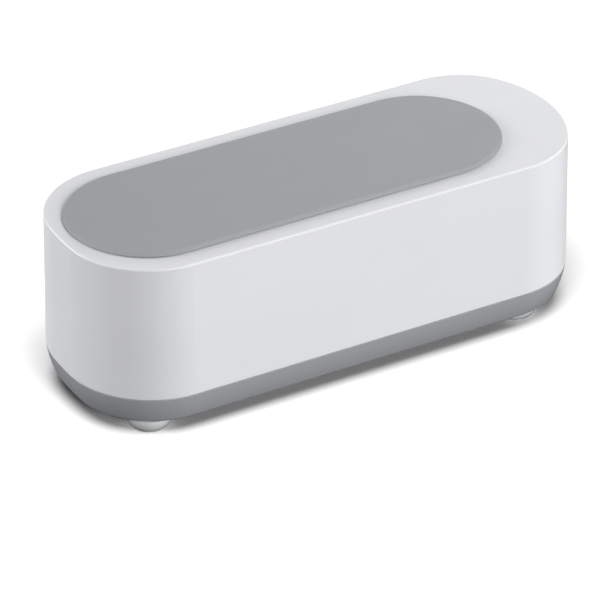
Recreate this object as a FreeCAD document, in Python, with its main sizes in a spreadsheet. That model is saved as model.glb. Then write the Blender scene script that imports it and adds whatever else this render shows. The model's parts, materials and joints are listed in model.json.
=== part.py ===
import FreeCAD, Part
import math
import os
import re
import Sketcher

# A small ultrasonic cleaner for jewellery: a long, round-ended casing on a base tray with four feet,
# a drawn tank under a loose lid, and the transducer, driver, battery and controls inside.
# Frame: +X towards the wide solid end, +Y away from the front, +Z up, origin on the standing plane,
# below the middle of the body. Millimetres.

Vector = FreeCAD.Vector
DOC = FreeCAD.newDocument("ultrasonic_cleaner")

SIZES = {
    # body outline at the rim: straight sides, and ends made of a flat arc between two corner arcs
    "rim_length": 198.6,
    "rim_width": 75.1,
    "left_end_radius": 135.6,
    "left_corner_radius": 31.8,
    "right_end_radius": 46.5,
    "right_corner_radius": 29.9,
    "seam_flare": 0.7,
    "seam_rounding": 0.3,
    # heights
    "foot_height": 5.3,
    "tray_height": 11.05,
    "wall_height": 52.2,
    # upper casing
    "casing_wall": 2.2,
    "casing_top": 2.4,
    "rim_rounding": 0.7,
    "opening_rounding": 0.4,
    # base tray
    "tray_tilt": 6.1,
    "tray_bulge_radius": 32.1,
    "tray_wall": 3.5,
    "tray_floor": 2.2,
    "tray_inner_slope": 1.35,
    "tray_edge_rounding": 1.8,
    "lip_height": 2.0,
    "lip_clearance": 0.15,
    "groove_inset": 0.7,
    "groove_width": 1.0,
    "groove_depth": 0.8,
    "root_depth": 0.5,
    # base screws and their posts
    "post_first": -58.0,
    "post_pitch": 60.0,
    "post_side": 31.0,
    "post_radius": 3.4,
    "boss_length": 22.0,
    "boss_radius": 2.9,
    "boss_gap": 0.3,
    "rib_thickness": 2.4,
    "rib_reach": 5.2,
    "screw_radius": 1.15,
    "screw_head_radius": 2.2,
    "screw_head_height": 1.6,
    "screw_length": 14.0,
    "screw_grip": 7.0,
    "screw_clearance": 0.15,
    "counterbore_radius": 2.5,
    "counterbore_depth": 5.0,
    # feet
    "foot_radius": 9.0,
    "foot_contact_radius": 6.6,
    "foot_left": -78.2,
    "foot_left_side": 23.2,
    "foot_right": 72.1,
    "foot_right_side": 23.2,
    # tank
    "tank_centre": -10.3,
    "opening_length": 164.0,
    "opening_width": 56.4,
    "shoulder_width": 1.5,
    "sheet": 0.8,
    "flange_width": 5.3,
    "gasket_height": 0.8,
    "gasket_width": 2.6,
    "tank_depth": 46.0,
    "tank_floor_radius": 5.2,
    "shoulder_radius": 1.2,
    # lid
    "lid_length": 169.2,
    "lid_width": 60.0,
    "seal_height": 0.45,
    "seal_inset": 0.5,
    "seal_width": 0.9,
    "lid_thickness": 1.0,
    "bevel_width": 1.2,
    "bevel_height": 0.7,
    "liner_drop": 1.0,
    "liner_inset": 0.9,
    "skirt_inset": 2.4,
    "skirt_thickness": 1.6,
    "skirt_drop": 6.0,
    "skirt_rounding": 0.5,
    # transducer
    "plate_radius": 20.5,
    "plate_thickness": 1.0,
    "disc_radius": 17.5,
    "disc_thickness": 2.5,
    "disc_rounding": 0.25,
    # driver board under the tank
    "board_thickness": 1.6,
    "driver_left": -79.0,
    "driver_length": 46.0,
    "driver_width": 40.0,
    "driver_lift": 3.0,
    "board_hole_inset": 3.0,
    "standoff_radius": 2.6,
    "small_screw_radius": 0.9,
    "small_head_radius": 1.8,
    "small_head_height": 1.2,
    "small_screw_length": 4.2,
    # the driver's transformer, and its coil round the core's middle limb
    "core_along": 7.0,
    "core_side": -16.0,
    "core_length": 13.0,
    "core_width": 12.0,
    "core_height": 8.0,
    "core_leg": 1.8,
    "core_window": 2.6,
    "coil_overhang": 2.0,
    "coil_gap": 0.1,
    "coil_rounding": 0.8,
    # the driver's drum inductor
    "drum_along": 31.0,
    "drum_side": -8.5,
    "drum_radius": 5.0,
    "drum_height": 8.0,
    "drum_flange": 1.2,
    "drum_post_radius": 2.2,
    "winding_radius": 4.4,
    # the driver's capacitors
    "can_along": 9.0,
    "can_pitch": 10.0,
    "can_side": 10.0,
    "can_radius": 4.0,
    "can_height": 8.2,
    "can_rounding": 0.5,
    "film_along": 22.0,
    "film_side": -3.0,
    "film_length": 13.0,
    "film_width": 5.0,
    "film_height": 7.5,
    "film_rounding": 0.4,
    # the driver's transistor on its heat sink
    "sink_along": 24.0,
    "sink_side": 5.0,
    "sink_length": 15.5,
    "sink_width": 12.5,
    "sink_height": 7.6,
    "sink_thickness": 1.2,
    "package_along": 27.0,
    "package_side": 5.6,
    "package_length": 10.0,
    "package_width": 9.0,
    "package_height": 4.4,
    "package_rounding": 0.3,
    # the driver's plug shells
    "shell_width": 5.0,
    "shell_height": 4.6,
    "shell_wall": 0.7,
    "shell_floor": 1.4,
    # battery cell in the solid end
    "cell_radius": 9.05,
    "cell_length": 49.7,
    "cell_along": 80.8,
    "cell_side": -13.0,
    "cradle_wall": 1.3,
    "cradle_height": 15.0,
    "cradle_floor": 1.2,
    "cell_rounding": 0.8,
    "cell_cap_radius": 3.0,
    "cell_cap_height": 1.0,
    # control board behind the end wall
    "control_face": 92.6,
    "control_low": 22.0,
    "control_high": 62.0,
    "control_near": -8.5,
    "control_far": 15.5,
    "control_boss_radius": 2.3,
    "control_boss_side": 12.0,
    "control_boss_length": 3.6,
    "control_hole_low": 26.0,
    "control_hole_high": 57.0,
    # power button
    "button_height": 45.0,
    "button_radius": 6.0,
    "button_gap": 0.3,
    "button_face": 99.9,
    "button_shoulder": 98.1,
    "button_back": 97.0,
    "button_flange_radius": 7.2,
    "bezel_face": 100.0,
    "bezel_seat": 98.4,
    "bezel_radius": 9.6,
    "bezel_neck_radius": 8.4,
    "bezel_bore_radius": 7.5,
    "bezel_back": 96.4,
    "bezel_rounding": 0.35,
    "button_rounding": 0.4,
    "button_stop_gap": 0.1,
    "switch_width": 6.2,
    "switch_height": 3.5,
    "switch_floor": 1.6,
    "actuator_radius": 1.75,
    "actuator_length": 1.6,
    "actuator_rounding": 0.15,
    # charge socket and status light
    "socket_height": 29.0,
    "socket_width": 8.94,
    "socket_thickness": 3.26,
    "socket_sheet": 0.3,
    "socket_length": 6.2,
    "socket_relief": 0.35,
    "tongue_width": 6.6,
    "tongue_thickness": 0.7,
    "tongue_inset": 0.9,
    "tongue_rounding": 0.12,
    "status_height": 57.5,
    "status_radius": 1.5,
    "status_inset": 0.6,
    "status_rounding": 0.2,
    "led_width": 3.2,
    "led_height": 1.6,
    "led_thickness": 0.9,
    "led_rounding": 0.15,
    "led_gap": 0.3,
    # wiring
    "lead_radius": 0.65,
}

sheet = DOC.addObject("Spreadsheet::Sheet", "Sizes")
for row, (alias, number) in enumerate(SIZES.items(), start=1):
    sheet.set(f"A{row}", alias.replace("_", " "))
    sheet.set(f"B{row}", str(number))
    sheet.setAlias(f"B{row}", alias)
DOC.recompute()

# Levels and sizes that several pieces share, written in terms of the sheet's cells.
TRAY_BOTTOM = "foot_height"
TRAY_INSIDE = "(foot_height + tray_floor)"
SEAM = "(foot_height + tray_height)"
RIM = "(foot_height + tray_height + wall_height)"
FLANGE_TOP = f"({RIM} - casing_top - gasket_height)"
TANK_INSIDE = f"({RIM} - tank_depth)"
TANK_UNDERSIDE = f"({TANK_INSIDE} - sheet)"
TANK_RADIUS = "(opening_width / 2 - shoulder_width)"
LID_UNDERSIDE = f"({RIM} + seal_height)"
OPENING_RADIUS = "(opening_width / 2)"
OPENING_STRAIGHT = "((opening_length - opening_width) / 2)"
LID_STRAIGHT = "((lid_length - lid_width) / 2)"
DRIVER_UNDERSIDE = f"({TRAY_INSIDE} + driver_lift)"
DRIVER_TOP = f"({DRIVER_UNDERSIDE} + board_thickness)"
CONTROL_BACK = "(control_face - board_thickness)"
GROOVE_OUTSIDE = "(seam_flare - groove_inset)"
GROOVE_INSIDE = "(seam_flare - groove_inset - groove_width)"
TRAY_SECTIONS = 4

POSTS = [("post_first + %d * post_pitch" % step, side + "post_side") for step in range(3) for side in "-+"]
DRIVER_HOLES = [
    (along, side)
    for along in ("driver_left + board_hole_inset", "driver_left + driver_length - board_hole_inset")
    for side in ("-(driver_width / 2 - board_hole_inset)", "driver_width / 2 - board_hole_inset")
]
CONTROL_HOLES = [("control_boss_side", "control_hole_low"), ("control_boss_side", "control_hole_high")]
BOARD_HOLE = "(small_screw_radius + screw_clearance)"
PLUG_PLACES = [("driver_left + 34", "-19.5"), ("driver_left + 40.5", "-4.5"), ("driver_left + 13", "14.8")]
HEAD_ROUNDING, SLOT_DEPTH = 0.45, 0.6  # of a screw head's height
SLOT_LENGTH, SLOT_WIDTH = 1.1, 0.26  # of a screw head's radius
BEND_SHARE = 0.45  # of a wire's shorter run, taken up by the arc at its end
PAST = 1.0  # how far a cutting tool runs past the face that it starts or ends at


def formula(text):
    """The text with each size's name written as a reference to the sheet."""
    return re.sub(r"[a-z_]+", lambda word: f"Sizes.{word[0]}" if word[0] in SIZES else word[0], text)


def value(text):
    """The number that a formula gives."""
    result = sheet.evalExpression(formula(text))
    return float(getattr(result, "Value", result))


def bind(thing, prop, text):
    thing.setExpression(prop, formula(text))


def place(thing, x="0", y="0", z="0"):
    for axis, text in zip("xyz", (x, y, z)):
        bind(thing, f"Placement.Base.{axis}", text)


# ---------------------------------------------------------------------------------------------------
# Part Design helpers


def new_body(label):
    body = DOC.addObject("PartDesign::Body", label)
    body.Label = label
    return body


def new_sketch(body, name, level="0", role="XY_Plane"):
    """An empty sketch on one of the body's own origin planes, raised along that plane's normal."""
    sketch = body.newObject("Sketcher::SketchObject", name)
    base = next(feature for feature in body.Origin.OriginFeatures if feature.Role == role)
    sketch.AttachmentSupport = [(base, "")]
    sketch.MapMode = "FlatFace"
    bind(sketch, "AttachmentOffset.Base.z", level)
    return sketch


def dimension(sketch, name, text, kind, *where):
    """A driving dimension whose value comes from the sheet."""
    index = sketch.addConstraint(Sketcher.Constraint(kind, *where, value(text)))
    sketch.renameConstraint(index, name)
    bind(sketch, f"Constraints.{name}", text)


def arc(centre, radius, start, end):
    return Part.ArcOfCircle(Part.Circle(centre, Vector(0, 0, 1), radius), start, end)


def join_tangent(sketch, edges):
    """Joins the end of each edge to the start of the next, without a kink."""
    for one, other in zip(edges, edges[1:] + edges[:1]):
        sketch.addConstraint(Sketcher.Constraint("Tangent", one, 2, other, 1))


def draw_body_outline(sketch, tag, grow):
    """Adds the body's closed outline to a sketch, grown outwards by an amount (negative shrinks it)."""
    offset = value(grow)
    half_width = value("rim_width / 2")
    half_length = value("rim_length / 2")
    ends = {}
    for side, sign in (("right", 1), ("left", -1)):
        end_radius = value(f"{side}_end_radius")
        corner_radius = value(f"{side}_corner_radius")
        rise = half_width - corner_radius
        reach = math.sqrt((end_radius - corner_radius) ** 2 - rise ** 2)
        end_centre = half_length - end_radius
        ends[side] = (
            Vector(sign * end_centre, 0, 0),
            Vector(sign * (end_centre + reach), rise, 0),
            end_radius + offset,
            corner_radius + offset,
            math.atan2(rise, reach),
        )
    end, corner, end_radius, corner_radius, turn = ends["right"]
    left_end, left_corner, left_end_radius, left_corner_radius, left_turn = ends["left"]
    edge = half_width + offset
    half_turn = math.pi
    quarter = math.pi / 2
    geometry = [
        Part.LineSegment(Vector(left_corner.x, -edge, 0), Vector(corner.x, -edge, 0)),
        arc(Vector(corner.x, -corner.y, 0), corner_radius, -quarter, -turn),
        arc(end, end_radius, -turn, turn),
        arc(corner, corner_radius, turn, quarter),
        Part.LineSegment(Vector(corner.x, edge, 0), Vector(left_corner.x, edge, 0)),
        arc(left_corner, left_corner_radius, quarter, half_turn - left_turn),
        arc(left_end, left_end_radius, half_turn - left_turn, half_turn + left_turn),
        arc(Vector(left_corner.x, -left_corner.y, 0), left_corner_radius, half_turn + left_turn, 3 * quarter),
    ]
    edges = [sketch.addGeometry(item, False) for item in geometry]
    join_tangent(sketch, edges)
    for side, sign, end_edge, lower, upper in (
        ("right", "", edges[2], edges[1], edges[3]),
        ("left", "-", edges[6], edges[7], edges[5]),
    ):
        name = f"{tag}_{side}"
        sketch.addConstraint(Sketcher.Constraint("PointOnObject", end_edge, 3, -1))
        sketch.addConstraint(Sketcher.Constraint("Equal", lower, upper))
        dimension(sketch, f"{name}_end", f"{side}_end_radius + {grow}", "Radius", end_edge)
        dimension(sketch, f"{name}_corner", f"{side}_corner_radius + {grow}", "Radius", lower)
        end_centre = f"{sign}(rim_length / 2 - {side}_end_radius)"
        corner_rise = f"(rim_width / 2 - {side}_corner_radius)"
        dimension(sketch, f"{name}_centre", end_centre, "DistanceX", -1, 1, end_edge, 3)
        dimension(sketch, f"{name}_lower", f"-{corner_rise}", "DistanceY", -1, 1, lower, 3)
        dimension(sketch, f"{name}_upper", corner_rise, "DistanceY", -1, 1, upper, 3)


def body_outline(body, name, level, *grows):
    """A sketch of the body's outline, or of a ring between two of its offsets."""
    sketch = new_sketch(body, name, level)
    for number, grow in enumerate(grows):
        draw_body_outline(sketch, f"outline_{number}", grow)
    return sketch


def draw_slot(sketch, tag, straight, radius, along, up):
    """Adds a round-ended slot: two half circles whose centres are `straight` either side of the middle."""
    middle, half, bend, height = value(along), value(straight), value(radius), value(up)
    quarter = math.pi / 2
    geometry = [
        Part.LineSegment(Vector(middle - half, height - bend, 0), Vector(middle + half, height - bend, 0)),
        arc(Vector(middle + half, height, 0), bend, -quarter, quarter),
        Part.LineSegment(Vector(middle + half, height + bend, 0), Vector(middle - half, height + bend, 0)),
        arc(Vector(middle - half, height, 0), bend, quarter, 3 * quarter),
    ]
    edges = [sketch.addGeometry(item, False) for item in geometry]
    join_tangent(sketch, edges)
    sketch.addConstraint(Sketcher.Constraint("Equal", edges[1], edges[3]))
    dimension(sketch, f"{tag}_radius", radius, "Radius", edges[1])
    for side, sign, edge in (("right", "+", edges[1]), ("left", "-", edges[3])):
        dimension(sketch, f"{tag}_{side}_along", f"{along} {sign} {straight}", "DistanceX", -1, 1, edge, 3)
        dimension(sketch, f"{tag}_{side}_up", up, "DistanceY", -1, 1, edge, 3)


def tank_slot(body, name, level, straight, *radii):
    """A slot round the tank's middle, or a ring between two such slots."""
    sketch = new_sketch(body, name, level)
    for number, radius in enumerate(radii):
        draw_slot(sketch, f"slot_{number}", straight, radius, "tank_centre", "0")
    return sketch


def circles(body, name, level, centres, radius, role="XY_Plane"):
    """One sketch with a circle of the same radius at each centre."""
    sketch = new_sketch(body, name, level, role)
    for number, (x, y) in enumerate(centres):
        circle = Part.Circle(Vector(value(x), value(y), 0), Vector(0, 0, 1), value(radius))
        index = sketch.addGeometry(circle, False)
        dimension(sketch, f"radius_{number}", radius, "Radius", index)
        dimension(sketch, f"across_{number}", x, "DistanceX", -1, 1, index, 3)
        dimension(sketch, f"up_{number}", y, "DistanceY", -1, 1, index, 3)
    return sketch


def rectangles(body, name, level, corners, role="XY_Plane"):
    """One sketch with a rectangle for each (low x, low y, high x, high y)."""
    sketch = new_sketch(body, name, level, role)
    for number, (low_x, low_y, high_x, high_y) in enumerate(corners):
        a, b, c, d = value(low_x), value(low_y), value(high_x), value(high_y)
        ring = [Vector(a, b, 0), Vector(c, b, 0), Vector(c, d, 0), Vector(a, d, 0)]
        edges = [
            sketch.addGeometry(Part.LineSegment(one, other), False)
            for one, other in zip(ring, ring[1:] + ring[:1])
        ]
        for one, other in zip(edges, edges[1:] + edges[:1]):
            sketch.addConstraint(Sketcher.Constraint("Coincident", one, 2, other, 1))
        for edge, kind in zip(edges, ("Horizontal", "Vertical") * 2):
            sketch.addConstraint(Sketcher.Constraint(kind, edge))
        dimension(sketch, f"low_x_{number}", low_x, "DistanceX", -1, 1, edges[0], 1)
        dimension(sketch, f"low_y_{number}", low_y, "DistanceY", -1, 1, edges[0], 1)
        dimension(sketch, f"high_x_{number}", high_x, "DistanceX", -1, 1, edges[1], 2)
        dimension(sketch, f"high_y_{number}", high_y, "DistanceY", -1, 1, edges[1], 2)
    return sketch


def extrude(body, kind, sketch, length, reverse=False, taper="0"):
    """A Pad along the sketch's normal, or a Pocket against it; reverse turns either one round."""
    feature = body.newObject(f"PartDesign::{kind}", f"{kind}_{sketch.Name}")
    feature.Profile = sketch
    feature.Reversed = reverse
    bind(feature, "Length", length)
    bind(feature, "TaperAngle", taper)
    DOC.recompute()
    return feature


def pad(body, sketch, length, reverse=False, taper="0"):
    return extrude(body, "Pad", sketch, length, reverse, taper)


def pocket(body, sketch, length, reverse=False, taper="0"):
    before = body.Shape.Volume
    feature = extrude(body, "Pocket", sketch, length, reverse, taper)
    if body.Shape.Volume > before - 1e-3:
        raise RuntimeError(f"{feature.Name} cuts nothing")
    return feature


def loft(body, sketches):
    feature = body.newObject("PartDesign::AdditiveLoft", f"Loft_{sketches[0].Name}")
    feature.Profile = sketches[0]
    feature.Sections = sketches[1:]
    DOC.recompute()
    return feature


def dress(body, kind, size, chosen, second=None):
    """A Fillet or Chamfer on the edges of the body's tip that `chosen` accepts."""
    tip = body.Tip
    names = [f"Edge{i}" for i, edge in enumerate(tip.Shape.Edges, start=1) if chosen(edge)]
    if not names:
        raise RuntimeError(f"{body.Label}: no edge found to dress")
    feature = body.newObject(f"PartDesign::{kind}", f"{kind}_{body.Label}")
    feature.Base = (tip, names)
    if kind == "Fillet":
        bind(feature, "Radius", size)
    else:
        feature.ChamferType = "Two distances"
        bind(feature, "Size", size)
        bind(feature, "Size2", second)
    DOC.recompute()
    return feature


def at_level(height, within=None):
    """Accepts the edges that lie flat at a height, and no further from the X axis than `within`."""
    level = value(height)
    limit = value(within) + 1e-3 if within else math.inf

    def chosen(edge):
        box = edge.BoundBox
        flat = abs(box.ZMin - level) < 1e-3 and abs(box.ZMax - level) < 1e-3
        return flat and max(-box.YMin, box.YMax) <= limit

    return chosen


# ---------------------------------------------------------------------------------------------------
# Primitive helpers


def block(name, corner, sizes):
    piece = DOC.addObject("Part::Box", name)
    for prop, text in zip(("Length", "Width", "Height"), sizes):
        bind(piece, prop, text)
    place(piece, *corner)
    return piece


def rod(name, foot, radius, length, along="z"):
    """A cylinder that starts at `foot` and runs along +Z or +X."""
    piece = DOC.addObject("Part::Cylinder", name)
    if along == "x":
        piece.Placement = FreeCAD.Placement(Vector(), FreeCAD.Rotation(Vector(0, 1, 0), 90))
    bind(piece, "Radius", radius)
    bind(piece, "Height", length)
    place(piece, *foot)
    return piece


def cut(name, base, tool):
    piece = DOC.addObject("Part::Cut", name)
    piece.Base = base
    piece.Tool = tool
    return piece


def fuse(name, pieces):
    piece = DOC.addObject("Part::MultiFuse", name)
    piece.Shapes = pieces
    piece.Refine = True
    return piece


def gather(name, pieces):
    """Separate solids that share one node."""
    piece = DOC.addObject("Part::Compound", name)
    piece.Links = pieces
    return piece


def soften(name, base, radius, chosen):
    """Rounds the edges of a primitive or boolean that `chosen` accepts."""
    DOC.recompute()
    piece = DOC.addObject("Part::Fillet", name)
    piece.Base = base
    size = value(radius)
    piece.Edges = [(i, size, size) for i, edge in enumerate(base.Shape.Edges, start=1) if chosen(edge)]
    return piece


def any_edge(edge):
    return True


def at_end(along):
    """Accepts the edges that lie in the plane across the X axis at a place."""
    plane = value(along) - 1e-3
    return lambda edge: edge.BoundBox.XMin > plane


def set_shape(name, shape):
    piece = DOC.addObject("Part::Feature", name)
    piece.Shape = shape
    return piece


# ---------------------------------------------------------------------------------------------------
# Casing, tray and what closes them


def make_upper_casing():
    """White shell: drafted walls, flat top with the tank's opening, screw posts and the end controls."""
    body = new_body("upper_casing")
    draft = "-atan(seam_flare / wall_height)"
    pad(body, body_outline(body, "casing_seam", SEAM, "seam_flare"), "wall_height", taper=draft)
    dress(body, "Fillet", "rim_rounding", at_level(RIM))
    dress(body, "Fillet", "seam_rounding", at_level(SEAM))
    inside = body_outline(body, "casing_inside", SEAM, "(seam_flare - casing_wall)")
    pocket(body, inside, "wall_height - casing_top", reverse=True, taper=draft)
    opening = tank_slot(body, "casing_opening", RIM, OPENING_STRAIGHT, OPENING_RADIUS)
    pocket(body, opening, f"casing_top + {PAST}")
    dress(body, "Fillet", "opening_rounding", at_level(RIM, within="opening_width / 2"))

    boss_foot = f"{SEAM} + lip_height + boss_gap"
    ribs = []
    for along, side in POSTS:
        near, far = (side, f"{side} + rib_reach") if side[0] == "+" else (f"{side} - rib_reach", side)
        ribs.append((f"{along} - rib_thickness / 2", near, f"{along} + rib_thickness / 2", far))
    pad(body, rectangles(body, "casing_ribs", boss_foot, ribs), "boss_length")
    pad(body, circles(body, "casing_bosses", boss_foot, POSTS, "boss_radius"), "boss_length")
    pilots = circles(body, "casing_pilots", boss_foot, POSTS, "screw_radius")
    pocket(body, pilots, f"screw_grip + {PAST}", reverse=True)

    end = "YZ_Plane"
    boss = circles(body, "control_bosses", "control_face", CONTROL_HOLES, "control_boss_radius", end)
    pad(body, boss, "control_boss_length")
    pilots = circles(body, "control_pilots", "control_face", CONTROL_HOLES, "small_screw_radius", end)
    pocket(body, pilots, "small_screw_length - board_thickness", reverse=True)
    outside = f"bezel_face + {PAST}"
    through_end = f"bezel_face + {PAST} - control_face"
    at_button = [("0", "button_height")]
    seat = circles(body, "bezel_seat_cut", outside, at_button, "bezel_radius", end)
    pocket(body, seat, f"{outside} - bezel_seat")
    pocket(body, circles(body, "bezel_hole", outside, at_button, "bezel_neck_radius", end), through_end)
    at_status = [("0", "status_height")]
    pocket(body, circles(body, "status_hole", outside, at_status, "status_radius", end), through_end)
    socket = new_sketch(body, "socket_hole", outside, end)
    draw_slot(sketch=socket, tag="socket", straight="((socket_width - socket_thickness) / 2)",
              radius="socket_thickness / 2 + socket_relief", along="0", up="socket_height")
    pocket(body, socket, through_end)
    return body


def tray_inset(depth):
    """How far the bulged side of the tray has moved in at a depth below the seam."""
    lean = f"(sin(tray_tilt) + {depth} / tray_bulge_radius)"
    return f"(tray_bulge_radius * (cos(tray_tilt) - sqrt(1 - {lean} * {lean})))"


def make_base_tray():
    """Grey tray: bulged side, flat bottom, locating lip, gasket groove, screw sleeves and standoffs."""
    body = new_body("base_tray")
    sections = []
    for step in range(TRAY_SECTIONS):
        depth = f"(tray_height * {step} / {TRAY_SECTIONS - 1})"
        grow = f"(seam_flare - {tray_inset(depth)})"
        sections.append(body_outline(body, f"tray_section_{step}", f"{SEAM} - {depth}", grow))
    loft(body, sections)
    dress(body, "Fillet", "tray_edge_rounding", at_level(TRAY_BOTTOM))
    dress(body, "Fillet", "seam_rounding", at_level(SEAM))
    mouth = body_outline(body, "tray_mouth", SEAM, "(seam_flare - tray_wall)")
    depth = "(tray_height - tray_floor)"
    pocket(body, mouth, depth, taper=f"-atan(tray_inner_slope / {depth})")

    lip_outside = "(seam_flare - casing_wall - lip_clearance)"
    lip = body_outline(body, "tray_lip", SEAM, lip_outside, "(seam_flare - tray_wall)")
    pad(body, lip, "lip_height")
    groove = body_outline(body, "tray_groove", SEAM, GROOVE_OUTSIDE, GROOVE_INSIDE)
    pocket(body, groove, "groove_depth")

    root = f"{TRAY_INSIDE} - root_depth"
    sleeve = circles(body, "screw_sleeves", root, POSTS, "post_radius")
    pad(body, sleeve, "root_depth + tray_height - tray_floor + lip_height + boss_gap")
    counterbore = circles(body, "screw_counterbores", TRAY_BOTTOM, POSTS, "counterbore_radius")
    pocket(body, counterbore, "counterbore_depth", reverse=True)
    clearance = circles(body, "screw_clearances", TRAY_BOTTOM, POSTS, "screw_radius + screw_clearance")
    pocket(body, clearance, f"tray_height + lip_height + {PAST}", reverse=True)
    standoffs = circles(body, "driver_standoffs", root, DRIVER_HOLES, "standoff_radius")
    pad(body, standoffs, "driver_lift + root_depth")
    pilots = circles(body, "driver_pilots", DRIVER_UNDERSIDE, DRIVER_HOLES, "small_screw_radius")
    pocket(body, pilots, "small_screw_length - board_thickness")
    return body


def make_base_gasket():
    """Cord seal in the tray's groove, pressed flat by the casing's lower edge."""
    body = new_body("base_gasket")
    ring = body_outline(body, "base_gasket_ring", f"{SEAM} - groove_depth", GROOVE_OUTSIDE, GROOVE_INSIDE)
    pad(body, ring, "groove_depth")
    return body


def make_foot(label, along, side):
    """Clear silicone foot: part of a ball, cut flat where it is glued and where it stands."""
    body = new_body(label)
    profile = new_sketch(body, f"{label}_profile", role="XZ_Plane")
    contact, wide, tall = value("foot_contact_radius"), value("foot_radius"), value("foot_height")
    centre_height = (wide ** 2 - contact ** 2 + tall ** 2) / (2 * tall)
    centre = Vector(0, centre_height, 0)
    ball = math.hypot(contact, centre_height)
    start = math.atan2(-centre_height, contact)
    finish = math.atan2(tall - centre_height, wide)
    corners = [Vector(0, 0, 0), Vector(contact, 0, 0), Vector(wide, tall, 0), Vector(0, tall, 0)]
    standing = profile.addGeometry(Part.LineSegment(corners[0], corners[1]), False)
    dome = profile.addGeometry(arc(centre, ball, start, finish), False)
    glued = profile.addGeometry(Part.LineSegment(corners[2], corners[3]), False)
    axis = profile.addGeometry(Part.LineSegment(corners[3], corners[0]), False)
    ring = [standing, dome, glued, axis]
    for one, other in zip(ring, ring[1:] + ring[:1]):
        profile.addConstraint(Sketcher.Constraint("Coincident", one, 2, other, 1))
    profile.addConstraint(Sketcher.Constraint("Coincident", standing, 1, -1, 1))
    profile.addConstraint(Sketcher.Constraint("Horizontal", standing))
    profile.addConstraint(Sketcher.Constraint("Horizontal", glued))
    profile.addConstraint(Sketcher.Constraint("Vertical", axis))
    profile.addConstraint(Sketcher.Constraint("PointOnObject", dome, 3, -2))
    dimension(profile, "contact", "foot_contact_radius", "DistanceX", -1, 1, standing, 2)
    dimension(profile, "wide", "foot_radius", "DistanceX", -1, 1, glued, 1)
    dimension(profile, "tall", "foot_height", "DistanceY", -1, 1, glued, 1)
    turn = body.newObject("PartDesign::Revolution", f"{label}_turn")
    turn.Profile = profile
    turn.ReferenceAxis = (profile, ["V_Axis"])
    turn.Angle = 360
    place(body, along, side)
    return body


# ---------------------------------------------------------------------------------------------------
# Tank and lid


def make_tank():
    """Drawn stainless tank: flange under the casing's top, rolled shoulder, straight walls, round floor."""
    body = new_body("tank")
    outside = tank_slot(body, "tank_outside", TANK_UNDERSIDE, OPENING_STRAIGHT, f"{TANK_RADIUS} + sheet")
    pad(body, outside, f"{FLANGE_TOP} - {TANK_UNDERSIDE}")
    flange = tank_slot(body, "tank_flange", FLANGE_TOP, OPENING_STRAIGHT, f"{TANK_RADIUS} + flange_width")
    pad(body, flange, "sheet", reverse=True)
    inside = tank_slot(body, "tank_inside", FLANGE_TOP, OPENING_STRAIGHT, TANK_RADIUS)
    pocket(body, inside, f"{FLANGE_TOP} - {TANK_INSIDE}")
    dress(body, "Fillet", "tank_floor_radius", at_level(TANK_INSIDE))
    dress(body, "Fillet", "tank_floor_radius + sheet", at_level(TANK_UNDERSIDE))
    dress(body, "Fillet", "shoulder_radius", at_level(FLANGE_TOP, within=TANK_RADIUS))
    return body


def make_ring(label, level, straight, outer, inner, height):
    """A flat slot-shaped ring round the tank's middle."""
    body = new_body(label)
    pad(body, tank_slot(body, f"{label}_ring", level, straight, outer, inner), height)
    return body


def make_lid_plate():
    """Grey cover plate with a wide, shallow bevel all round."""
    body = new_body("lid_plate")
    outline = tank_slot(body, "lid_outline", LID_UNDERSIDE, LID_STRAIGHT, "lid_width / 2")
    pad(body, outline, "lid_thickness")
    top = f"{LID_UNDERSIDE} + lid_thickness"
    dress(body, "Chamfer", "bevel_height", at_level(top), second="bevel_width")
    return body


def make_lid_liner():
    """Inner moulding under the plate: fills the opening and carries the skirt that finds the tank's mouth."""
    body = new_body("lid_liner")
    liner_radius = f"({OPENING_RADIUS} - liner_inset)"
    skirt_radius = f"({OPENING_RADIUS} - skirt_inset)"
    underside = f"{RIM} - liner_drop"
    cover = tank_slot(body, "liner_cover", underside, OPENING_STRAIGHT, liner_radius)
    pad(body, cover, "liner_drop + seal_height")
    inner = f"({OPENING_RADIUS} - skirt_inset - skirt_thickness)"
    skirt = tank_slot(body, "liner_skirt", underside, OPENING_STRAIGHT, skirt_radius, inner)
    pad(body, skirt, "skirt_drop - liner_drop", reverse=True)
    dress(body, "Fillet", "skirt_rounding", at_level(f"{RIM} - skirt_drop"))
    return body


# ---------------------------------------------------------------------------------------------------
# Transducer, driver, battery and controls


def make_transducer():
    """The bonding plate on the tank's underside and the piezo disc, with its two faces' electrodes, on it."""
    plate = rod(
        "transducer_plate", ("tank_centre", "0", f"{TANK_UNDERSIDE} - plate_thickness"),
        "plate_radius", "plate_thickness",
    )
    disc_level = f"{TANK_UNDERSIDE} - plate_thickness - disc_thickness"
    disc = rod("piezo_body", ("tank_centre", "0", disc_level), "disc_radius", "disc_thickness")
    disc = soften("piezo_disc", disc, "disc_rounding", any_edge)
    return [plate, disc]


def drilled_board(name, plain, holes, along="z", level="0"):
    """A circuit board with a screw hole at each place."""
    tools = []
    for number, (x, y) in enumerate(holes):
        foot = (x, y, level) if along == "z" else (level, x, y)
        tools.append(rod(f"{name}_hole_{number}", foot, BOARD_HOLE, f"board_thickness + 2 * {PAST}", along))
    return cut(name, plain, gather(f"{name}_holes", tools))


def driver_place(along, side, above="0"):
    """A point on the driver board, from its left end and the middle of its width."""
    return (f"driver_left + {along}", side, f"{DRIVER_TOP} + {above}")


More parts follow.
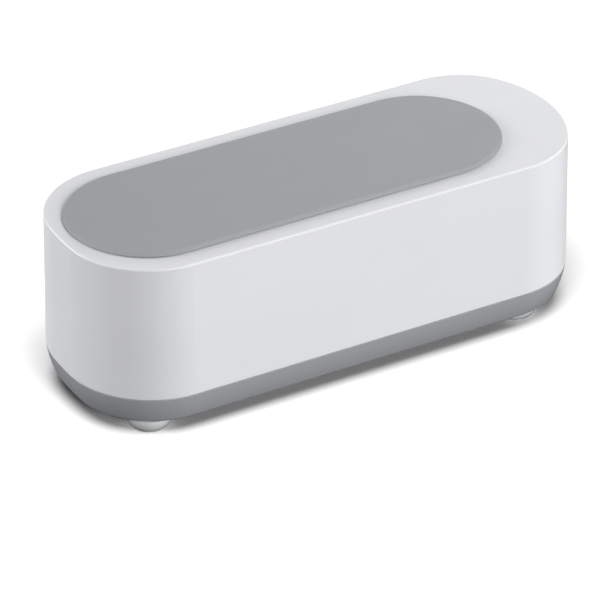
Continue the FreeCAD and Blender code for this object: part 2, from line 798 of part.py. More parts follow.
def make_transformer():
    """A ferrite core with two windows, and a taped coil round the limb between them."""
    window_height = "(core_height - 2 * core_leg)"
    corner = driver_place("core_along", "core_side")
    blank = block("core_blank", corner, ("core_length", "core_width", "core_height"))
    windows = []
    for number, offset in enumerate(("core_leg", "core_width - core_leg - core_window")):
        corner = driver_place(f"core_along - {PAST}", f"core_side + {offset}", "core_leg")
        through = f"core_length + 2 * {PAST}"
        windows.append(block(f"core_window_{number}", corner, (through, "core_window", window_height)))
    core = cut("transformer_core", blank, gather("core_windows", windows))

    inset = "(core_leg + coil_gap)"
    coil_blank = block(
        "coil_blank", driver_place("core_along - coil_overhang", f"core_side + {inset}", inset),
        ("core_length + 2 * coil_overhang", f"core_width - 2 * {inset}", f"core_height - 2 * {inset}"),
    )
    limb_side = "(core_leg + core_window)"
    limb = block(
        "coil_limb", driver_place("core_along", f"core_side + {limb_side}", "core_leg"),
        ("core_length", f"core_width - 2 * {limb_side}", window_height),
    )
    coil = cut("transformer_coil", soften("coil_rounded", coil_blank, "coil_rounding", any_edge), limb)
    return [core, coil]


def make_inductor():
    """A drum core that stands on its flange, wound with copper wire between its two flanges."""
    upper = "(drum_height - drum_flange)"
    core = fuse("inductor_core", [
        rod("drum_foot", driver_place("drum_along", "drum_side"), "drum_radius", "drum_flange"),
        rod("drum_post", driver_place("drum_along", "drum_side"), "drum_post_radius", "drum_height"),
        rod("drum_top", driver_place("drum_along", "drum_side", upper), "drum_radius", "drum_flange"),
    ])
    foot = driver_place("drum_along", "drum_side", "drum_flange")
    length = "drum_height - 2 * drum_flange"
    winding = cut(
        "inductor_winding",
        rod("winding_blank", foot, "winding_radius", length),
        rod("winding_bore", foot, "drum_post_radius", length),
    )
    return [core, winding]


def make_capacitors():
    """Two round cans that store the supply's charge, and a film capacitor in a moulded box."""
    cans = []
    for number in range(2):
        along = f"can_along + {number} * can_pitch"
        blank = rod(f"can_blank_{number}", driver_place(along, "can_side"), "can_radius", "can_height")
        cans.append(soften(f"can_{number}", blank, "can_rounding", any_edge))
    corner = driver_place("film_along", "film_side")
    film = block("film_blank", corner, ("film_length", "film_width", "film_height"))
    return [gather("bulk_capacitors", cans), soften("film_capacitor", film, "film_rounding", any_edge)]


def make_power_stage():
    """An angle of sheet metal with the power transistor flat on its foot."""
    foot_corner = driver_place("sink_along", "sink_side")
    wall_corner = driver_place("sink_along", "sink_side + sink_width - sink_thickness")
    sink = fuse("heat_sink", [
        block("sink_foot", foot_corner, ("sink_length", "sink_width", "sink_thickness")),
        block("sink_wall", wall_corner, ("sink_length", "sink_thickness", "sink_height")),
    ])
    package = block(
        "transistor_package", driver_place("package_along", "package_side", "sink_thickness"),
        ("package_length", "package_width", "package_height"),
    )
    return [sink, soften("power_transistor", package, "package_rounding", any_edge)]


def make_connectors():
    """Three open plug shells for the leads."""
    outside = ("shell_width", "shell_width", "shell_height")
    mouth_width = "shell_width - 2 * shell_wall"
    plugs = []
    for number, (x, y) in enumerate(PLUG_PLACES):
        shell = block(f"plug_shell_{number}", (x, y, DRIVER_TOP), outside)
        corner = (f"{x} + shell_wall", f"{y} + shell_wall", f"{DRIVER_TOP} + shell_floor")
        mouth = block(f"plug_mouth_{number}", corner, (mouth_width, mouth_width, "shell_height"))
        plugs.append(cut(f"plug_{number}", shell, mouth))
    return gather("driver_connectors", plugs)


def make_driver():
    """Driver board on the tray's standoffs, with the parts that make the high-frequency drive."""
    plain = block(
        "driver_blank", ("driver_left", "-driver_width / 2", DRIVER_UNDERSIDE),
        ("driver_length", "driver_width", "board_thickness"),
    )
    board = drilled_board("driver_board", plain, DRIVER_HOLES, level=f"{DRIVER_UNDERSIDE} - {PAST}")
    parts = make_transformer() + make_inductor() + make_capacitors() + make_power_stage()
    return [board, *parts, make_connectors()]


def make_battery():
    """Upright rechargeable cell in the solid end, held by a cup that stands on the tray's floor."""
    at = ("cell_along", "cell_side")
    cup = rod("cradle_blank", (*at, TRAY_INSIDE), "cell_radius + cradle_wall", "cradle_height")
    bore = rod("cradle_bore", (*at, f"{TRAY_INSIDE} + cradle_floor"), "cell_radius", "cradle_height")
    cradle = cut("battery_cradle", cup, bore)
    cell_foot = f"{TRAY_INSIDE} + cradle_floor"
    can = rod("cell_can", (*at, cell_foot), "cell_radius", "cell_length - cell_cap_height")
    cell = soften("battery_sleeve", can, "cell_rounding", any_edge)
    cap = rod("cell_cap", (*at, f"{cell_foot} + cell_length / 2"), "cell_cap_radius", "cell_length / 2")
    return [cradle, fuse("battery_cell", [cell, cap])]


def make_controls():
    """Vertical board behind the end wall with the switch, the status light and the charge socket."""
    plain = block(
        "control_blank", (CONTROL_BACK, "control_near", "control_low"),
        ("board_thickness", "control_far - control_near", "control_high - control_low"),
    )
    board = drilled_board("control_board", plain, CONTROL_HOLES, "x", f"{CONTROL_BACK} - {PAST}")

    half = "switch_width / 2"
    switch_blank = block(
        "switch_blank", ("control_face", f"-{half}", f"button_height - {half}"),
        ("switch_height", "switch_width", "switch_width"),
    )
    well = rod(
        "switch_well", ("control_face + switch_floor", "0", "button_height"),
        "actuator_radius + button_gap", "switch_height", "x",
    )
    switch = cut("tact_switch", switch_blank, well)

    led_blank = block(
        "led_blank", ("control_face", "-led_width / 2", "status_height - led_height / 2"),
        ("led_thickness", "led_width", "led_height"),
    )
    led = soften("status_led", led_blank, "led_rounding", any_edge)
    pipe_foot = "(control_face + led_thickness + led_gap)"
    pipe = rod(
        "pipe_blank", (pipe_foot, "0", "status_height"), "status_radius",
        f"bezel_face - status_inset - {pipe_foot}", "x",
    )
    status_lens = soften("status_lens", pipe, "status_rounding", any_edge)

    jack = new_body("charge_socket")
    profile = new_sketch(jack, "socket_profile", "control_face", "YZ_Plane")
    straight = "((socket_width - socket_thickness) / 2)"
    radius = "(socket_thickness / 2)"
    for tag, size in (("outer", radius), ("inner", f"({radius} - socket_sheet)")):
        draw_slot(profile, tag, straight, size, "0", "socket_height")
    pad(jack, profile, "socket_length")
    tongue = block(
        "tongue_blank", ("control_face", "-tongue_width / 2", "socket_height - tongue_thickness / 2"),
        ("socket_length - tongue_inset", "tongue_width", "tongue_thickness"),
    )
    socket_tongue = soften("socket_tongue", tongue, "tongue_rounding", any_edge)
    return [board, switch, led, status_lens, jack, socket_tongue]


def make_button():
    """The fixed bezel, the cap that slides in it, and the switch's own stem behind the cap."""
    at = ("0", "button_height")
    bezel = fuse("bezel_solid", [
        rod("bezel_rim", ("bezel_seat", *at), "bezel_radius", "bezel_face - bezel_seat", "x"),
        rod("bezel_neck", ("bezel_back", *at), "bezel_neck_radius", "bezel_face - bezel_back", "x"),
    ])
    past_back = f"(bezel_back - {PAST})"
    front_bore = f"bezel_face + {PAST} - {past_back}"
    rear_bore = f"button_shoulder + button_stop_gap - {past_back}"
    bores = fuse("bezel_bores", [
        rod("bezel_front_bore", (past_back, *at), "button_radius + button_gap", front_bore, "x"),
        rod("bezel_rear_bore", (past_back, *at), "bezel_bore_radius", rear_bore, "x"),
    ])
    bezel = soften("button_bezel", cut("bezel_cut", bezel, bores), "bezel_rounding", at_end("bezel_face"))
    back = ("button_back", *at)
    cap = fuse("button_solid", [
        rod("button_front", back, "button_radius", "button_face - button_back", "x"),
        rod("button_flange", back, "button_flange_radius", "button_shoulder - button_back", "x"),
    ])
    cap = soften("power_button", cap, "button_rounding", at_end("button_face"))
    stem_foot = ("button_back - actuator_length", *at)
    stem = rod("stem_blank", stem_foot, "actuator_radius", "actuator_length", "x")
    actuator = soften("switch_actuator", stem, "actuator_rounding", any_edge)
    return [bezel, cap, actuator]


# ---------------------------------------------------------------------------------------------------
# Screws and wiring


def screw_shape(radius, length, head_radius, head_height):
    """A pan-head screw that points along +Z, with its head below the origin and a cross recess in it."""
    shank = Part.makeCylinder(radius, length)
    head = Part.makeCylinder(head_radius, head_height, Vector(0, 0, -head_height))
    low_rim = [edge for edge in head.Edges if edge.BoundBox.ZMax < -head_height + 1e-3]
    head = head.makeFillet(HEAD_ROUNDING * head_height, low_rim)
    slot_length = SLOT_LENGTH * head_radius
    slot_width = SLOT_WIDTH * head_radius
    corner = Vector(-slot_length / 2, -slot_width / 2, -head_height)
    slot = Part.makeBox(slot_length, slot_width, SLOT_DEPTH * head_height, corner)
    cross = slot.fuse(slot.rotated(Vector(0, 0, 0), Vector(0, 0, 1), 90))
    return shank.fuse(head).removeSplitter().cut(cross)


def place_screws(label, screw, places, turn=None):
    solids = []
    for place_of_screw in places:
        copy = screw.copy()
        if turn:
            copy.rotate(Vector(0, 0, 0), *turn)
        copy.translate(Vector(*place_of_screw))
        solids.append(copy)
    return set_shape(label, Part.makeCompound(solids))


def make_screws():
    """Base screws up through the tray, and small screws down into the driver's standoffs and the end wall."""
    base = screw_shape(
        value("screw_radius"), value("screw_length"), value("screw_head_radius"), value("screw_head_height"),
    )
    head_seat = value(f"{TRAY_BOTTOM} + counterbore_depth")
    posts = [(value(x), value(y), head_seat) for x, y in POSTS]
    small = screw_shape(
        value("small_screw_radius"), value("small_screw_length"),
        value("small_head_radius"), value("small_head_height"),
    )
    driver_level = value(DRIVER_TOP)
    driver = [(value(x), value(y), driver_level) for x, y in DRIVER_HOLES]
    control_level = value(CONTROL_BACK)
    control = [(control_level, value(y), value(z)) for y, z in CONTROL_HOLES]
    return [
        place_screws("base_screws", base, posts),
        place_screws("driver_screws", small, driver, (Vector(1, 0, 0), 180)),
        place_screws("control_screws", small, control, (Vector(0, 1, 0), 90)),
    ]


def lead_shape(points, radius):
    """A wire along straight runs joined by the largest tangent arcs that the runs allow."""
    corners = [Vector(*point) for point in points]
    edges = []
    start = corners[0]
    for before, corner, after in zip(corners, corners[1:], corners[2:]):
        arriving = corner - before
        leaving = after - corner
        turn = arriving.getAngle(leaving)
        setback = BEND_SHARE * min(arriving.Length, leaving.Length)
        arriving.normalize()
        leaving.normalize()
        entry = corner - arriving * setback
        exit_point = corner + leaving * setback
        bend = setback / math.tan(turn / 2)
        inward = (leaving - arriving).normalize()
        middle = corner + inward * (math.hypot(bend, setback) - bend)
        edges.append(Part.makeLine(start, entry))
        edges.append(Part.Arc(entry, middle, exit_point).toShape())
        start = exit_point
    edges.append(Part.makeLine(start, corners[-1]))
    path = Part.Wire(edges)
    heading = corners[1] - corners[0]
    section = Part.Wire([Part.makeCircle(radius, corners[0], heading)])
    return path.makePipeShell([section], True, False)


def make_leads():
    """Insulated wires between the driver board, the transducer, the control board and the cell."""
    radius = value("lead_radius")
    board_top = value(DRIVER_TOP)
    board_left = value("driver_left")
    above_plug = board_top + 7.4
    disc_face = value(f"{TANK_UNDERSIDE} - plate_thickness - disc_thickness")
    disc_side = value("tank_centre") - 5
    cell_x, cell_y = value("cell_along"), value("cell_side")
    cell_top = value(f"{TRAY_INSIDE} + cradle_floor + cell_length")
    control_back = value(CONTROL_BACK)
    groups = {
        "transducer_leads": [
            [
                (board_left + 43.0, side - 2.0, board_top + 1.4),
                (board_left + 43.0, side - 2.0, above_plug),
                (board_left + 50.0, side - 1.6, above_plug - 3.4),
                (disc_side - 6.0, side, above_plug - 4.6),
                (disc_side, side, disc_face - 2.8),
                (disc_side, side, disc_face),
            ]
            for side in (-0.9, 0.9)
        ],
        "control_leads": [
            [
                (board_left + 36.5 + shift, -17.0, board_top + 1.4),
                (board_left + 36.5 + shift, -17.0, above_plug),
                (board_left + 46.0, -21.0 + shift, above_plug - 5.0),
                (board_left + 63.0, -22.5 + shift, board_top - 1.2),
                (20.0, -23.0 + shift, board_top - 1.8),
                (50.0, -20.0 + shift, board_top - 0.6),
                (66.5, -4.0 + shift, board_top + 2.0),
                (79.0, 4.0 + shift, board_top + 6.0),
                (83.5, 6.5 + shift, 29.0),
                (control_back, 6.5 + shift, 29.0),
            ]
            for shift in (-0.9, 0.9)
        ],
        "battery_leads": [
            [
                (cell_x + shift, cell_y, cell_top),
                (cell_x + shift, cell_y, cell_top + 3.6),
                (cell_x + 4.0, cell_y + 11.0 + shift, cell_top + 3.0),
                (cell_x + 5.0, cell_y + 11.0 + shift, cell_top - 6.5),
                (control_back, cell_y + 11.0 + shift, cell_top - 6.5),
            ]
            for shift in (-0.8, 0.8)
        ],
    }
    leads = []
    for label, routes in groups.items():
        leads.append(set_shape(label, Part.makeCompound([lead_shape(route, radius) for route in routes])))
    return leads


# ---------------------------------------------------------------------------------------------------


def make_nodes():
    nodes = [make_upper_casing(), make_base_tray(), make_base_gasket(), make_tank()]
    tank_seal = f"{TANK_RADIUS} + flange_width"
    nodes.append(make_ring(
        "tank_gasket", FLANGE_TOP, OPENING_STRAIGHT,
        tank_seal, f"{tank_seal} - gasket_width", "gasket_height",
    ))
    for end in ("left", "right"):
        for name, sign in (("front", "-"), ("rear", "+")):
            nodes.append(make_foot(f"foot_{name}_{end}", f"foot_{end}", f"{sign}foot_{end}_side"))
    nodes += [make_lid_plate(), make_lid_liner()]
    seal_outside = "(lid_width / 2 - seal_inset)"
    nodes.append(make_ring(
        "lid_seal", RIM, LID_STRAIGHT, seal_outside, f"({seal_outside} - seal_width)", "seal_height",
    ))
    nodes += make_transducer() + make_driver() + make_battery() + make_controls() + make_button()
    nodes += make_screws() + make_leads()
    for node in nodes:
        node.Label = node.Name
    DOC.recompute()
    return nodes


def check_document(nodes):
    """Stops before anything is written if a feature failed or a piece isn't a sound solid."""
    for thing in DOC.Objects:
        if {"Invalid", "Error"} & set(thing.State):
            raise RuntimeError(f"{thing.Name} failed: {thing.State}")
    for node in nodes:
        shape = node.Shape
        if shape.isNull() or not shape.isValid() or not shape.Solids:
            raise RuntimeError(f"{node.Name} is not a sound solid")


def write_steps(nodes):
    os.makedirs("parts", exist_ok=True)
    for node in nodes:
        node.Shape.exportStep(f"parts/{node.Label}.step")
        box = node.Shape.BoundBox
        print(f"{node.Label:20} {len(node.Shape.Solids)} solids, {node.Shape.Volume:10.1f} mm3,"
              f" {box.XLength:.2f} by {box.YLength:.2f} by {box.ZLength:.2f}")


NODES = make_nodes()
check_document(NODES)
write_steps(NODES)
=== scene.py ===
import json
import math

import bmesh
import bpy
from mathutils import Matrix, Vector


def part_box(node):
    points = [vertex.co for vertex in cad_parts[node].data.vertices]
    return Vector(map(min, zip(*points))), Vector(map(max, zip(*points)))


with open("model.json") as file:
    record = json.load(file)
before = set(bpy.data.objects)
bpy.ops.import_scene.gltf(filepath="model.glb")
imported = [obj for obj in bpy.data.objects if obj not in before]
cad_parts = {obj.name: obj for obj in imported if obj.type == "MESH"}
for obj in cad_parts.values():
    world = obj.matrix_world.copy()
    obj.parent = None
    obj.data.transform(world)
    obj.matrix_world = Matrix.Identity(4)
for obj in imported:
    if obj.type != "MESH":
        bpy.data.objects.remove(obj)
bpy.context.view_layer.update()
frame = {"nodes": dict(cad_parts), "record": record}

# The ultrasonic cleaner on its CAD frame: a material for every node, a studio and the camera.
# Metres, in the frame's own axes: +X towards the solid end, +Y to the rear, +Z up.

MM = 0.001
NODES = frame["nodes"]
RIM_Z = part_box("upper_casing")[1].z

# -------------------------------------------------------------------------------------------------
# Camera, floor and light

VIEW_AZIMUTH = math.radians(-29.67)
VIEW_ELEVATION = math.radians(30.65)
VIEW_DISTANCE = 1.546
FOCAL_RATIO = 7.0689
SENSOR = 36.0
CLIP_NEAR, CLIP_FAR = 0.05, 20.0
AIM_BELOW_RIM = 0.02979  # the point that the camera is measured from, on the object's own axis
OFF_AXIS_RIGHT = 0.00110  # how far that point sits from the picture's centre, as a slope
OFF_AXIS_UP = 0.01509

# Each softbox: name, azimuth and elevation in degrees, side in metres, strength, and what it
# falls on. Azimuth 0 is the front, 90 the solid end, -90 the round end and 180 the rear. The
# overhead box is the floor's main light, so a soft shadow borders the object on every side.
SOFTBOX_DISTANCE = 1.6
SOFTBOXES = (
    ("front", 2.0, 22.0, 0.7, 0.97, "object"),
    ("right", 75.0, 14.0, 0.8, 0.44, "object"),
    ("right_high", 82.0, 64.0, 0.2, 0.20, "object"),
    ("round_end", -129.0, 12.0, 0.8, 1.20, "object"),
    ("rear", 146.0, 12.0, 0.6, 0.24, "object"),
    ("rear_high", 176.0, 62.0, 0.9, 0.14, "object"),
    ("floor_front", 4.0, 12.0, 0.6, 0.75, "floor"),
    ("overhead", -32.0, 74.0, 1.1, 1.45, "floor"),
)
WORLD_LIGHT = 0.04
WHITE = (1.0, 1.0, 1.0, 1.0)

FLOOR_HALF_SIDE = 3.0
FLOOR_CELLS = 4


def direction(azimuth, elevation):
    """The unit vector from the object towards an azimuth and elevation, both in radians."""
    return Vector((
        math.sin(azimuth) * math.cos(elevation),
        -math.cos(azimuth) * math.cos(elevation),
        math.sin(elevation),
    ))


def place_looking(item, position, towards):
    """Puts a camera or light in the scene with its -Z axis along `towards`."""
    item.location = position
    item.rotation_mode = "QUATERNION"
    item.rotation_quaternion = towards.to_track_quat("-Z", "Y")
    bpy.context.scene.collection.objects.link(item)


def make_camera():
    """A long lens at the object's front left, looking down, with the object above the middle."""
    out = direction(VIEW_AZIMUTH, VIEW_ELEVATION)
    right = Vector((math.cos(VIEW_AZIMUTH), math.sin(VIEW_AZIMUTH), 0.0))
    up = out.cross(right)
    middle = Vector((0.0, 0.0, RIM_Z - AIM_BELOW_RIM))
    aim = middle - (right * OFF_AXIS_RIGHT + up * OFF_AXIS_UP) * VIEW_DISTANCE
    place = middle + out * VIEW_DISTANCE
    data = bpy.data.cameras.new("camera")
    data.sensor_width = SENSOR
    data.lens = FOCAL_RATIO * SENSOR
    data.clip_start = CLIP_NEAR
    data.clip_end = CLIP_FAR
    camera = bpy.data.objects.new("camera", data)
    place_looking(camera, place, aim - place)
    bpy.context.scene.camera = camera


def add_softbox(name, azimuth, elevation, size, strength):
    """A square softbox aimed at the object, which lights a white face to about `strength`."""
    out = direction(math.radians(azimuth), math.radians(elevation))
    data = bpy.data.lights.new(name, "AREA")
    data.size = size
    data.energy = strength * (math.pi * SOFTBOX_DISTANCE) ** 2
    light = bpy.data.objects.new(name, data)
    place_looking(light, out * SOFTBOX_DISTANCE, -out)
    return light


def share_light(lights, floor):
    """Keeps the floor's lights off the object, and the object's lights off the floor."""
    for receiver, state in (("floor", "INCLUDE"), ("object", "EXCLUDE")):
        group = bpy.data.collections.new(f"lights_for_{receiver}")
        group.objects.link(floor)
        group.collection_objects[0].light_linking.link_state = state
        for light, falls_on in lights:
            if falls_on == receiver:
                light.light_linking.receiver_collection = group


def make_world(strength):
    """An even, dim fill from all round."""
    world = bpy.data.worlds.new("studio")
    world.use_nodes = True
    background = world.node_tree.nodes["Background"]
    background.inputs["Color"].default_value = WHITE
    background.inputs["Strength"].default_value = strength
    bpy.context.scene.world = world


def make_floor():
    """A white sheet that gives the object no light back, so that its undersides stay dark."""
    mesh = bpy.data.meshes.new("floor")
    builder = bmesh.new()
    bmesh.ops.create_grid(
        builder, x_segments=FLOOR_CELLS, y_segments=FLOOR_CELLS, size=FLOOR_HALF_SIDE
    )
    builder.to_mesh(mesh)
    builder.free()
    floor = bpy.data.objects.new("floor", mesh)
    floor.data.materials.append(floor_paper("floor_paper"))
    floor.visible_diffuse = False
    floor.visible_glossy = False
    bpy.context.scene.collection.objects.link(floor)
    return floor


# -------------------------------------------------------------------------------------------------
# Materials

EVEN = (1.0, 1.0, 1.0)
WIRE_PITCH = 0.45 * MM
TAPE_PITCH = 1.2 * MM
WAVES_PER_UNIT = 3.1831  # a Wave texture at scale 1 repeats this many times in one unit
SLEEVE_LIP = 0.05 * MM  # half the height over which a can's sleeve gives way to bare metal


class Maker:
    """A Principled material under construction, with short names for the nodes it needs."""

    def __init__(self, name, **settings):
        self.material = bpy.data.materials.new(name)
        self.material.use_nodes = True
        self.tree = self.material.node_tree
        self.shader = self.tree.nodes["Principled BSDF"]
        self.place = self.tree.nodes.new("ShaderNodeTexCoord").outputs["Object"]
        for key, value in settings.items():
            self.shader.inputs[key.replace("_", " ")].default_value = value

    def texture(self, kind, size, stretch=EVEN, **inputs):
        """A texture with features about `size` metres across, drawn out along the axes."""
        mapping = self.tree.nodes.new("ShaderNodeMapping")
        mapping.inputs["Scale"].default_value = [1.0 / (size * factor) for factor in stretch]
        self.tree.links.new(self.place, mapping.inputs["Vector"])
        texture = self.tree.nodes.new(f"ShaderNodeTex{kind}")
        texture.inputs["Scale"].default_value = 1.0
        for key, value in inputs.items():
            texture.inputs[key.replace("_", " ")].default_value = value
        self.tree.links.new(mapping.outputs["Vector"], texture.inputs["Vector"])
        return texture

    def noise(self, size, detail=2.0, stretch=EVEN):
        return self.texture("Noise", size, stretch, Detail=detail).outputs["Fac"]

    def spread(self, source, low, high, start=0.3, end=0.7):
        """Stretches the part of a texture between two levels over a range of values."""
        ramp = self.tree.nodes.new("ShaderNodeMapRange")
        ramp.inputs["From Min"].default_value = start
        ramp.inputs["From Max"].default_value = end
        ramp.inputs["To Min"].default_value = low
        ramp.inputs["To Max"].default_value = high
        self.tree.links.new(source, ramp.inputs["Value"])
        return ramp.outputs["Result"]

    def height(self, low, high):
        """0 below one level of the object and 1 above another."""
        split = self.tree.nodes.new("ShaderNodeSeparateXYZ")
        self.tree.links.new(self.place, split.inputs["Vector"])
        return self.spread(split.outputs["Z"], 0.0, 1.0, low, high)

    def blend(self, factor, first, second):
        """A colour between two others, each a plain colour or another node's output."""
        node = self.tree.nodes.new("ShaderNodeMix")
        node.data_type = "RGBA"
        self.tree.links.new(factor, node.inputs["Factor"])
        for name, colour in (("A", first), ("B", second)):
            socket = next(
                slot for slot in node.inputs if slot.name == name and slot.type == "RGBA"
            )
            if isinstance(colour, tuple):
                socket.default_value = (*colour, 1.0)
            else:
                self.tree.links.new(colour, socket)
        return next(slot for slot in node.outputs if slot.type == "RGBA")

    def feed(self, socket, source):
        """Links a node's output to one of the shader's inputs."""
        self.tree.links.new(source, self.shader.inputs[socket])

    def mottle(self, colour, amount, size, stretch=EVEN):
        """The base colour, with patches that are a little darker."""
        patches = self.spread(self.noise(size, 3.0, stretch), 0.0, 1.0)
        self.feed("Base Color", self.blend(patches, shade(colour, 1.0 - amount), colour))

    def uneven_gloss(self, low, high, size, stretch=EVEN):
        """Roughness that wanders between two values."""
        self.feed("Roughness", self.spread(self.noise(size, 2.0, stretch), low, high))

    def relief(self, *layers):
        """Bumps laid over each other, each a (height source, depth in metres)."""
        below = None
        for source, depth in layers:
            bump = self.tree.nodes.new("ShaderNodeBump")
            bump.inputs["Distance"].default_value = depth
            self.tree.links.new(source, bump.inputs["Height"])
            if below is not None:
                self.tree.links.new(below, bump.inputs["Normal"])
            below = bump.outputs["Normal"]
        self.feed("Normal", below)


def shade(colour, factor):
    """A colour made darker by a factor."""
    return tuple(channel * factor for channel in colour)


def floor_paper(name):
    """Matt white paper with a fine tooth."""
    made = Maker(name, Roughness=0.9)
    made.mottle((0.95, 0.95, 0.95), 0.01, 0.25)
    made.relief((made.noise(0.0008, 4.0), 0.00001))
    return made.material


def moulded_plastic(name, colour, rough, grain=0.3, gloss=0.5):
    """Injection-moulded plastic: a fine spark-eroded skin, and faint flow marks in its tone."""
    made = Maker(name, Specular_IOR_Level=gloss)
    made.mottle(colour, 0.02, 0.035, (2.5, 1.0, 0.8))
    made.uneven_gloss(rough - 0.03, rough + 0.04, 0.012)
    skin = made.noise(0.00035, 3.0)
    waves = made.noise(0.02, 1.0)
    made.relief((waves, 0.00004), (skin, grain * 0.00002))
    return made.material


def drawn_steel(name):
    """Deep-drawn stainless sheet: satin, with faint lines up the walls and soft handling marks."""
    made = Maker(name, Metallic=1.0)
    made.mottle((0.83, 0.83, 0.825), 0.03, 0.04)
    made.uneven_gloss(0.38, 0.44, 0.003, (1.0, 1.0, 20.0))
    lines = made.noise(0.0003, 4.0, (1.0, 1.0, 40.0))
    made.relief((made.noise(0.03, 1.0), 0.00003), (lines, 0.000004))
    return made.material


def worked_metal(name, colour, rough, stretch=EVEN):
    """Bare or plated metal with fine tool marks."""
    made = Maker(name, Metallic=1.0)
    made.mottle(colour, 0.08, 0.003)
    made.uneven_gloss(rough - 0.06, rough + 0.08, 0.0015, stretch)
    made.relief((made.noise(0.0002, 3.0, stretch), 0.000005))
    return made.material


def soft_rubber(name, colour, rough=0.55):
    """Silicone or PVC: an even, slightly dusty skin with a soft sheen."""
    made = Maker(name, Sheen_Weight=0.08, Sheen_Roughness=0.5)
    made.mottle(colour, 0.08, 0.006)
    made.uneven_gloss(rough - 0.05, rough + 0.06, 0.002)
    made.relief((made.noise(0.0004, 3.0), 0.000006))
    return made.material


def clear_silicone(name):
    """Clear soft pad, a little milky, with a glossy skin."""
    made = Maker(
        name, Transmission_Weight=0.2, IOR=1.41, Coat_Weight=1.0, Coat_Roughness=0.03
    )
    made.mottle((0.93, 0.94, 0.95), 0.03, 0.004)
    made.uneven_gloss(0.07, 0.12, 0.002)
    made.relief((made.noise(0.003, 1.0), 0.00002))
    return made.material


def light_pipe(name):
    """Clear polycarbonate with a frosted face."""
    made = Maker(name, Transmission_Weight=0.5, IOR=1.58)
    made.mottle((0.88, 0.94, 0.96), 0.03, 0.001)
    made.uneven_gloss(0.18, 0.28, 0.0004)
    made.relief((made.noise(0.00015, 2.0), 0.000004))
    return made.material


def piezo_ceramic(name):
    """Fired ceramic with a brushed silver electrode burnt onto its faces."""
    made = Maker(name, Metallic=0.35)
    made.mottle((0.80, 0.79, 0.74), 0.12, 0.004)
    made.uneven_gloss(0.30, 0.50, 0.001, (6.0, 1.0, 1.0))
    made.relief((made.noise(0.0003, 3.0, (8.0, 1.0, 1.0)), 0.000008))
    return made.material


def circuit_board(name):
    """Green solder mask over copper tracks, which stand out a little in height and tone."""
    made = Maker(name, Specular_IOR_Level=0.6)
    cells = made.texture("Voronoi", 0.0016, Randomness=0.25)
    cells.distance = "MANHATTAN"
    tracks = made.spread(cells.outputs["Distance"], 0.0, 1.0, 0.42, 0.46)
    made.feed("Base Color", made.blend(tracks, (0.02, 0.13, 0.06), (0.05, 0.26, 0.11)))
    made.uneven_gloss(0.22, 0.34, 0.002)
    made.relief((tracks, 0.00003), (made.noise(0.0004, 2.0), 0.000005))
    return made.material


def sintered(name, colour, rough):
    """Ferrite or moulded epoxy: dull, with a close speckle."""
    made = Maker(name, Specular_IOR_Level=0.4)
    made.mottle(colour, 0.35, 0.0004)
    made.uneven_gloss(rough - 0.08, rough + 0.08, 0.001)
    made.relief((made.noise(0.0003, 4.0), 0.00002))
    return made.material


def wound_wire(name):
    """Turns of enamelled copper wire, stacked up the drum, painted dark in the grooves between
    turns and light along their crests: painted shade and painted highlight.
    """
    made = Maker(name, Metallic=0.9, Coat_Weight=0.4, Coat_Roughness=0.15)
    turns = made.texture("Wave", WIRE_PITCH / WAVES_PER_UNIT, Distortion=0.15, Detail=1.0)
    turns.bands_direction = "Z"
    # The turns' height also paints the copper: painted shade in the grooves between turns, painted
    # highlight on the crests.
    crest_height_and_painted_shade = made.spread(turns.outputs["Fac"], 0.0, 1.0, 0.1, 0.9)
    made.feed("Base Color", made.blend(crest_height_and_painted_shade, (0.30, 0.11, 0.04), (0.75, 0.34, 0.14)))
    made.uneven_gloss(0.22, 0.32, 0.001)
    made.relief((crest_height_and_painted_shade, 0.00008))
    return made.material


def wrapped_tape(name):
    """Layers of yellow polyester tape, glossy, with the edge of each turn showing."""
    made = Maker(name, Coat_Weight=0.3, Coat_Roughness=0.1)
    made.mottle((0.82, 0.60, 0.10), 0.12, 0.004)
    made.uneven_gloss(0.18, 0.28, 0.002)
    turns = made.texture("Wave", TAPE_PITCH / WAVES_PER_UNIT, Distortion=0.4, Detail=1.0)
    turns.bands_direction = "X"
    made.relief((turns.outputs["Fac"], 0.00003))
    return made.material


def sleeved_can(name, node, sleeve, metal, shown):
    """A can in a shrunk plastic sleeve, with `shown` metres of bare metal at its top, and painted
    shade in the hollows of the sleeve's wrinkles.
    """
    made = Maker(name, Coat_Weight=0.2, Coat_Roughness=0.15)
    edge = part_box(node)[1].z - shown
    bare = made.height(edge - SLEEVE_LIP, edge + SLEEVE_LIP)
    wrinkles = made.noise(0.003, 2.0, (1.0, 1.0, 5.0))
    # The sleeve is painted darker where its wrinkles dip: painted shade, from the same noise as
    # their bumps.
    patches = made.spread(wrinkles, 0.0, 1.0)
    plastic = made.blend(patches, shade(sleeve, 0.85), sleeve)
    made.feed("Base Color", made.blend(bare, plastic, metal))
    made.feed("Metallic", bare)
    made.uneven_gloss(0.20, 0.32, 0.002)
    made.relief((wrinkles, 0.00002), (bare, 0.0001))
    return made.material


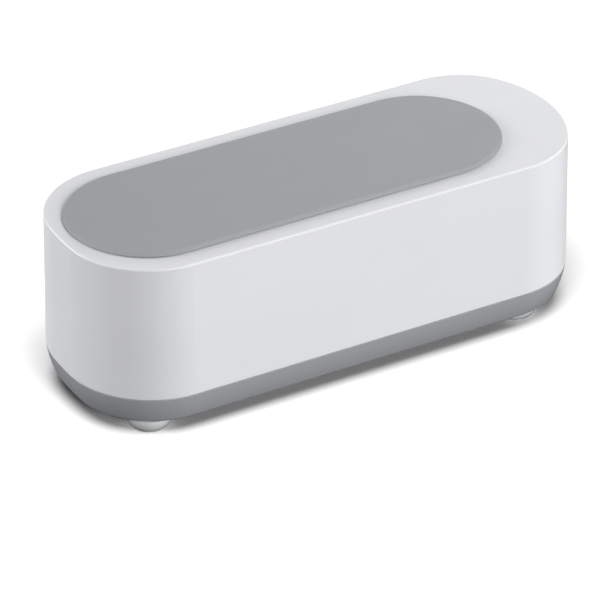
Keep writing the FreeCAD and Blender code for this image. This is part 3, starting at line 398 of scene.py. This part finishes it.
# A recipe for each material slot in the record. After the recipe come its settings, as colour,
# roughness, then grain and gloss or the stretch of its marks.
MATERIALS = {
    "casing_white": (moulded_plastic, (0.720, 0.726, 0.748), 0.46, 0.3, 0.4),
    "tray_grey": (moulded_plastic, (0.338, 0.348, 0.367), 0.31),
    "lid_grey": (moulded_plastic, (0.309, 0.319, 0.336), 0.50, 0.3, 0.3),
    "liner_white": (moulded_plastic, (0.68, 0.68, 0.68), 0.45),
    "bezel_grey": (moulded_plastic, (0.33, 0.34, 0.355), 0.22, 0.1),
    "button_grey": (moulded_plastic, (0.56, 0.57, 0.59), 0.38),
    "cradle_black": (moulded_plastic, (0.03, 0.03, 0.03), 0.5),
    "plug_nylon": (moulded_plastic, (0.74, 0.71, 0.62), 0.42),
    "film_red": (moulded_plastic, (0.36, 0.06, 0.04), 0.24, 0.2, 0.6),
    "stainless": (drawn_steel,),
    "silicone_grey": (soft_rubber, (0.11, 0.11, 0.115)),
    "silicone_clear": (clear_silicone,),
    "plate_metal": (worked_metal, (0.76, 0.76, 0.77), 0.34, (1.0, 8.0, 1.0)),
    "socket_steel": (worked_metal, (0.68, 0.68, 0.69), 0.26, (8.0, 1.0, 1.0)),
    "screw_steel": (worked_metal, (0.60, 0.61, 0.62), 0.30),
    "piezo_ceramic": (piezo_ceramic,),
    "board_green": (circuit_board,),
    "ferrite": (sintered, (0.055, 0.055, 0.058), 0.6),
    "chip_black": (sintered, (0.025, 0.025, 0.026), 0.5),
    "copper_wire": (wound_wire,),
    "tape_yellow": (wrapped_tape,),
    "can_aluminium": (
        sleeved_can, "bulk_capacitors", (0.03, 0.035, 0.05), (0.78, 0.78, 0.79), 0.4 * MM
    ),
    "cell_sleeve": (
        sleeved_can, "battery_cell", (0.03, 0.16, 0.36), (0.62, 0.62, 0.60), 1.4 * MM
    ),
    "light_clear": (light_pipe,),
    "wire_red": (soft_rubber, (0.42, 0.03, 0.02), 0.38),
    "wire_black": (soft_rubber, (0.02, 0.02, 0.02), 0.38),
}


def make_materials():
    """Every slot's material, by the slot's name."""
    return {
        name: recipe(name, *settings) for name, (recipe, *settings) in MATERIALS.items()
    }


def dress_nodes(materials):
    """Gives every node of the frame the material of its slot in the record."""
    for part in frame["record"]["subparts"]:
        mesh = NODES[part["node"]].data
        mesh.materials.clear()
        mesh.materials.append(materials[part["material_slot"]])


# -------------------------------------------------------------------------------------------------
# The scene

bpy.context.scene.view_settings.view_transform = "Standard"
make_camera()
make_world(WORLD_LIGHT)
lights = [(add_softbox(*settings), falls_on) for *settings, falls_on in SOFTBOXES]
share_light(lights, make_floor())
dress_nodes(make_materials())
